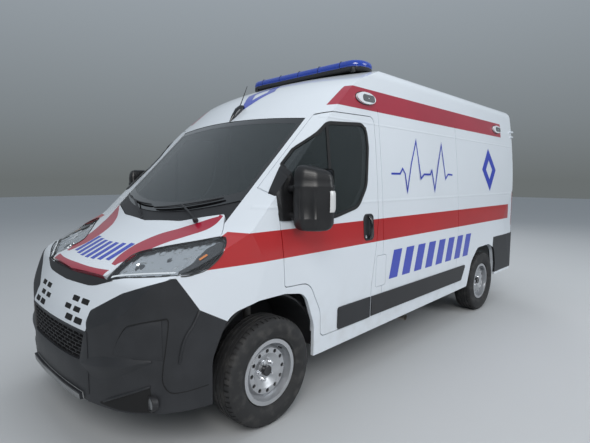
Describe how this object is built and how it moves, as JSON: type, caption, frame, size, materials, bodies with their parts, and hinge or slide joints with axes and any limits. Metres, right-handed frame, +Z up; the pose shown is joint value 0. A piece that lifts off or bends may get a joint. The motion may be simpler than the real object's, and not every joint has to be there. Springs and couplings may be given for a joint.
{
  "type": "ambulance",
  "caption": "High-roof panel-van ambulance with hollow cab and load space, opening doors, bonnet and fuel flap, steered front wheels and turning wheels, striped red and blue.",
  "frame": {"origin": "on the ground under the middle of the overall box", "axes": "+X forward, +Y to the vehicle's left, +Z up"},
  "size_m": [5.413, 2.508, 2.5749],
  "materials": {
    "white_paint": "gloss",
    "grey_plastic": "grained",
    "black_plastic": "satin",
    "dash_plastic": "grained",
    "clear_glass": "clear",
    "dark_glass": "dark tinted",
    "lamp_glass": "clear",
    "lamp_housing": "bright",
    "red_lens": "translucent",
    "blue_lens": "translucent",
    "seat_cloth": "woven",
    "floor_paint": "satin",
    "chassis_paint": "satin",
    "cast_metal": "rough",
    "exhaust_steel": "dull",
    "wheel_paint": "silver",
    "tyre_rubber": "matt",
    "red_film": "gloss",
    "blue_film": "gloss",
    "bright_metal": "bright",
    "amber_lens": "translucent",
    "mirror_glass": "mirror",
    "white_lens": "translucent"
  },
  "bodies": {
    "vehicle": {"rear_bumper": "grey_plastic", "tail_lamps": "red_lens", "side_left": "white_paint", "side_right": "white_paint", "sliding_door": "white_paint", "sliding_door_glass": "dark_glass", "side_strips": "black_plastic", "headlamp_glass": "lamp_glass", "headlamps": "lamp_housing", "front_panel": "white_paint", "front_bumper": "grey_plastic", "wings": "white_paint", "front_carrier": "black_plastic", "cowl": "black_plastic", "windscreen": "clear_glass", "roof": "white_paint", "floor": "floor_paint", "wheel_boxes": "floor_paint", "bulkheads": "floor_paint", "tail_hinges": "white_paint", "arch_liners": "black_plastic", "dashboard": "dash_plastic", "driver_seat": "seat_cloth", "passenger_seat": "seat_cloth", "chassis": "chassis_paint", "engine": "cast_metal", "fuel_tank": "black_plastic", "exhaust": "exhaust_steel", "rear_axle": "chassis_paint", "front_suspension": "chassis_paint", "light_bar_base": "black_plastic", "light_bar": "blue_lens", "side_lamps": "lamp_glass"},
    "front_door_left_body": {"front_door_left": "white_paint", "front_glass_left": "clear_glass", "mirror_left": "black_plastic"},
    "front_door_right_body": {"front_door_right": "white_paint", "front_glass_right": "clear_glass", "mirror_right": "black_plastic"},
    "rear_door_left_body": {"rear_door_left": "white_paint", "rear_glass_left": "dark_glass"},
    "rear_door_right_body": {"rear_door_right": "white_paint", "rear_glass_right": "dark_glass"},
    "bonnet_body": {"bonnet": "white_paint"},
    "fuel_flap_body": {"fuel_flap": "white_paint"},
    "knuckle_left_body": {"knuckle_left": "cast_metal"},
    "knuckle_right_body": {"knuckle_right": "cast_metal"},
    "steering_wheel_body": {"steering_wheel": "black_plastic"},
    "wheel_front_left": {"rim_front_left": "wheel_paint", "tyre_front_left": "tyre_rubber"},
    "wheel_front_right": {"rim_front_right": "wheel_paint", "tyre_front_right": "tyre_rubber"},
    "wheel_rear_left": {"rim_rear_left": "wheel_paint", "tyre_rear_left": "tyre_rubber"},
    "wheel_rear_right": {"rim_rear_right": "wheel_paint", "tyre_rear_right": "tyre_rubber"}
  },
  "joints": [
    {"name": "front_door_left_hinge", "type": "hinge", "parent": "vehicle", "child": "front_door_left_body", "pos_m": [1.7205, 1.027, 1.2], "axis": [0, 0, -1], "range_deg": [0, 70]},
    {"name": "front_door_right_hinge", "type": "hinge", "parent": "vehicle", "child": "front_door_right_body", "pos_m": [1.7205, -1.027, 1.2], "axis": [0, 0, 1], "range_deg": [0, 70]},
    {"name": "rear_door_left_hinge", "type": "hinge", "parent": "vehicle", "child": "rear_door_left_body", "pos_m": [-2.6965, 0.907, 1.4], "axis": [0, 0, -1], "range_deg": [0, 180]},
    {"name": "rear_door_right_hinge", "type": "hinge", "parent": "vehicle", "child": "rear_door_right_body", "pos_m": [-2.6965, -0.907, 1.4], "axis": [0, 0, 1], "range_deg": [0, 180]},
    {"name": "bonnet_hinge", "type": "hinge", "parent": "vehicle", "child": "bonnet_body", "pos_m": [1.9035, 0, 1.34], "axis": [0, -1, 0], "range_deg": [0, 55]},
    {"name": "fuel_flap_hinge", "type": "hinge", "parent": "vehicle", "child": "fuel_flap_body", "pos_m": [0.6345, 1.025, 0.817], "axis": [0, 0, -1], "range_deg": [0, 90]},
    {"name": "steer_left", "type": "hinge", "parent": "vehicle", "child": "knuckle_left_body", "pos_m": [1.7585, 0.76, 0.345], "axis": [0, 0, 1], "range_deg": [-35, 35]},
    {"name": "steer_right", "type": "hinge", "parent": "vehicle", "child": "knuckle_right_body", "pos_m": [1.7585, -0.76, 0.345], "axis": [0, 0, 1], "range_deg": [-35, 35]},
    {"name": "steering_wheel_turn", "type": "hinge", "parent": "vehicle", "child": "steering_wheel_body", "pos_m": [1.2585, 0.45, 1.2], "axis": [-0.7071, 0, 0.7071], "range_deg": [-540, 540]},
    {"name": "wheel_front_left_spin", "type": "hinge", "parent": "knuckle_left_body", "child": "wheel_front_left", "pos_m": [1.7585, 0.905, 0.345], "axis": [0, 1, 0], "continuous": true},
    {"name": "wheel_front_right_spin", "type": "hinge", "parent": "knuckle_right_body", "child": "wheel_front_right", "pos_m": [1.7585, -0.905, 0.345], "axis": [0, 1, 0], "continuous": true},
    {"name": "wheel_rear_left_spin", "type": "hinge", "parent": "vehicle", "child": "wheel_rear_left", "pos_m": [-1.6915, 0.895, 0.345], "axis": [0, 1, 0], "continuous": true},
    {"name": "wheel_rear_right_spin", "type": "hinge", "parent": "vehicle", "child": "wheel_rear_right", "pos_m": [-1.6915, -0.895, 0.345], "axis": [0, 1, 0], "continuous": true}
  ],
  "couplings": [
    {"joint": "steer_right", "follows": "steer_left", "ratio": 1},
    {"joint": "steering_wheel_turn", "follows": "steer_left", "ratio": 14}
  ]
}
